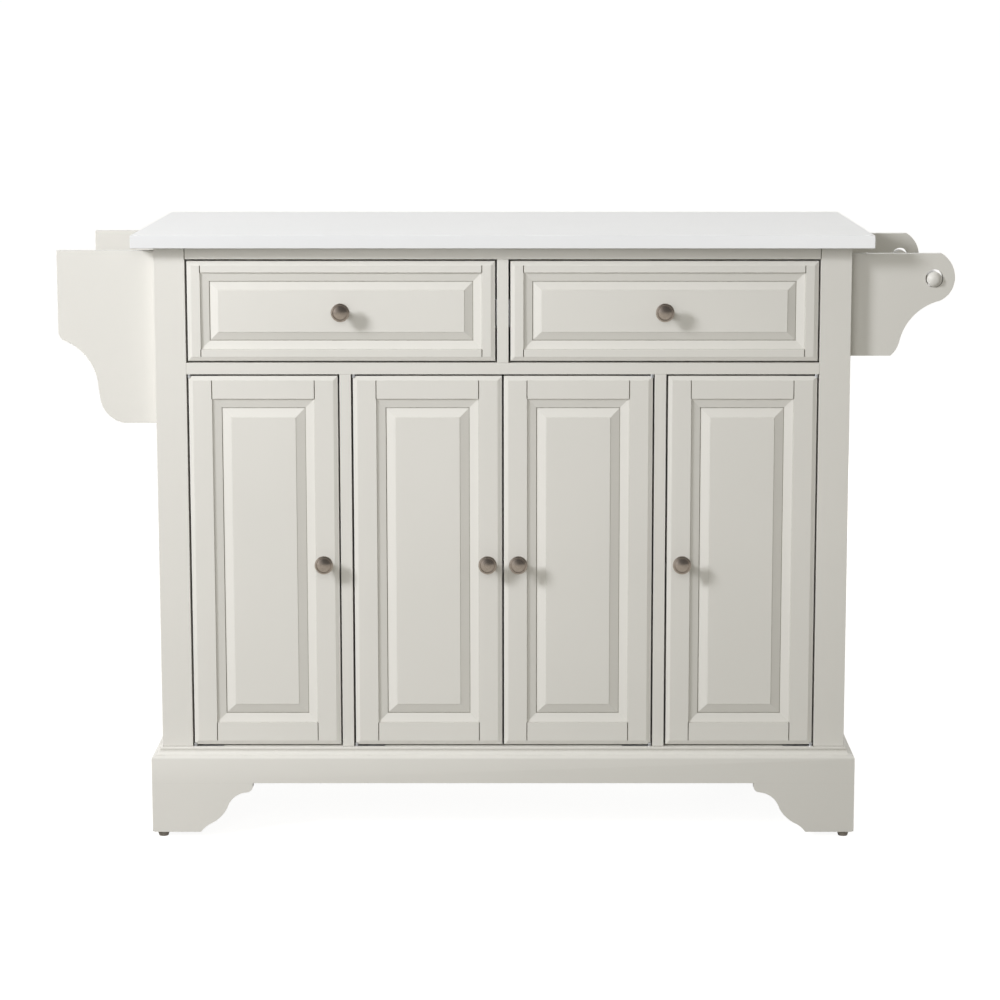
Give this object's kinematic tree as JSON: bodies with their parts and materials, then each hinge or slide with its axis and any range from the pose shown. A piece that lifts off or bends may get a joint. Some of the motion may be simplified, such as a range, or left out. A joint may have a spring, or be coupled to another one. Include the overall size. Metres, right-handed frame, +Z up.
{
  "type": "drop leaf kitchen island",
  "caption": "Painted kitchen island with inset doors and drawers, moulded base on bracket feet, spice rack, towel rod and a drop leaf on folding stays.",
  "frame": {"origin": "on the floor, under the middle of the whole with the leaf hanging", "axes": "+Z up, the doors face -Y, +X to the right of someone facing the doors, towards the towel rod; the leaf hangs on the +Y side"},
  "size_m": [1.3306, 0.4828, 0.914],
  "materials": {
    "painted_wood": "satin warm off-white paint on wood, fine brush and grain relief",
    "worktop_finish": "smooth satin white lacquer",
    "drawer_wood": "clear-sealed pale wood with straight grain",
    "painted_rod": "satin off-white paint on a turned dowel",
    "knob_metal": "satin nickel, softly brushed",
    "zinc_steel": "bright zinc plate",
    "glide_plastic": "grey-brown moulded plastic"
  },
  "bodies": {
    "island": {"back_panel": "painted_wood", "base_boards": "painted_wood", "bracket_feet": "painted_wood", "cabinet_floor": "painted_wood", "corner_posts": "painted_wood", "countertop": "worktop_finish", "cupboard_partitions": "painted_wood", "cupboard_shelves": "painted_wood", "door_pivots_fixed": "zinc_steel", "drawer_deck": "painted_wood", "drawer_divider": "painted_wood", "drawer_tracks": "zinc_steel", "floor_glides": "glide_plastic", "front_rails": "painted_wood", "front_stiles": "painted_wood", "leaf_hinge_plates": "zinc_steel", "rack_end_panels": "painted_wood", "rack_rails": "painted_wood", "rack_shelves": "painted_wood", "rear_stretcher": "painted_wood", "shelf_pins": "zinc_steel", "side_panels": "painted_wood", "stay_post_brackets": "zinc_steel", "towel_brackets": "painted_wood"},
    "left_drawer": {"left_drawer_bottom": "drawer_wood", "left_drawer_box": "drawer_wood", "left_drawer_front_frame": "painted_wood", "left_drawer_front_panel": "painted_wood", "left_drawer_knob": "knob_metal", "left_drawer_runners": "zinc_steel"},
    "right_drawer": {"right_drawer_bottom": "drawer_wood", "right_drawer_box": "drawer_wood", "right_drawer_front_frame": "painted_wood", "right_drawer_front_panel": "painted_wood", "right_drawer_knob": "knob_metal", "right_drawer_runners": "zinc_steel"},
    "door_1": {"door_1_frame": "painted_wood", "door_1_knob": "knob_metal", "door_1_panel": "painted_wood", "door_1_pivots": "zinc_steel"},
    "door_2": {"door_2_frame": "painted_wood", "door_2_knob": "knob_metal", "door_2_panel": "painted_wood", "door_2_pivots": "zinc_steel"},
    "door_3": {"door_3_frame": "painted_wood", "door_3_knob": "knob_metal", "door_3_panel": "painted_wood", "door_3_pivots": "zinc_steel"},
    "door_4": {"door_4_frame": "painted_wood", "door_4_knob": "knob_metal", "door_4_panel": "painted_wood", "door_4_pivots": "zinc_steel"},
    "drop_leaf": {"leaf_board": "worktop_finish", "leaf_hinge_wings": "zinc_steel", "stay_leaf_brackets": "zinc_steel"},
    "lower_stays": {"lower_stay_bars": "zinc_steel"},
    "upper_stays": {"upper_stay_bars": "zinc_steel"},
    "towel_rod": {"towel_rod": "painted_rod"}
  },
  "joints": [
    {"name": "left_drawer_slide", "type": "slide", "parent": "island", "child": "left_drawer", "axis": [0, -1, 0], "range_m": [0, 0.24]},
    {"name": "right_drawer_slide", "type": "slide", "parent": "island", "child": "right_drawer", "axis": [0, -1, 0], "range_m": [0, 0.24]},
    {"name": "door_1_hinge", "type": "hinge", "parent": "island", "child": "door_1", "pos_m": [-0.46975, -0.21115, 0.138], "axis": [0, 0, -1], "range_deg": [0, 100]},
    {"name": "door_2_hinge", "type": "hinge", "parent": "island", "child": "door_2", "pos_m": [-0.22605, -0.21115, 0.138], "axis": [0, 0, -1], "range_deg": [0, 100]},
    {"name": "door_3_hinge", "type": "hinge", "parent": "island", "child": "door_3", "pos_m": [0.21655, -0.21115, 0.138], "axis": [0, 0, 1], "range_deg": [0, 100]},
    {"name": "door_4_hinge", "type": "hinge", "parent": "island", "child": "door_4", "pos_m": [0.46025, -0.21115, 0.138], "axis": [0, 0, 1], "range_deg": [0, 100]},
    {"name": "leaf_hinge", "type": "hinge", "parent": "island", "child": "drop_leaf", "pos_m": [-0.00475, 0.21805, 0.8906], "axis": [1, 0, 0], "range_deg": [0, 90]},
    {"name": "lower_stay_pivot", "type": "hinge", "parent": "island", "child": "lower_stays", "pos_m": [-0.00475, 0.20205, 0.7256], "axis": [1, 0, 0], "range_deg": [0, 129]},
    {"name": "upper_stay_pivot", "type": "hinge", "parent": "drop_leaf", "child": "upper_stays", "pos_m": [-0.00475, 0.21295, 0.7256], "axis": [1, 0, 0], "range_deg": [-136.1, 0]},
    {"name": "towel_rod_spin", "type": "hinge", "parent": "island", "child": "towel_rod", "pos_m": [0.63475, -0.19445, 0.84525], "axis": [0, 1, 0], "continuous": true}
  ],
  "couplings": [
    {"joint": "lower_stay_pivot", "follows": "leaf_hinge", "ratio": 1.4319},
    {"joint": "upper_stay_pivot", "follows": "leaf_hinge", "ratio": -1.5106}
  ]
}
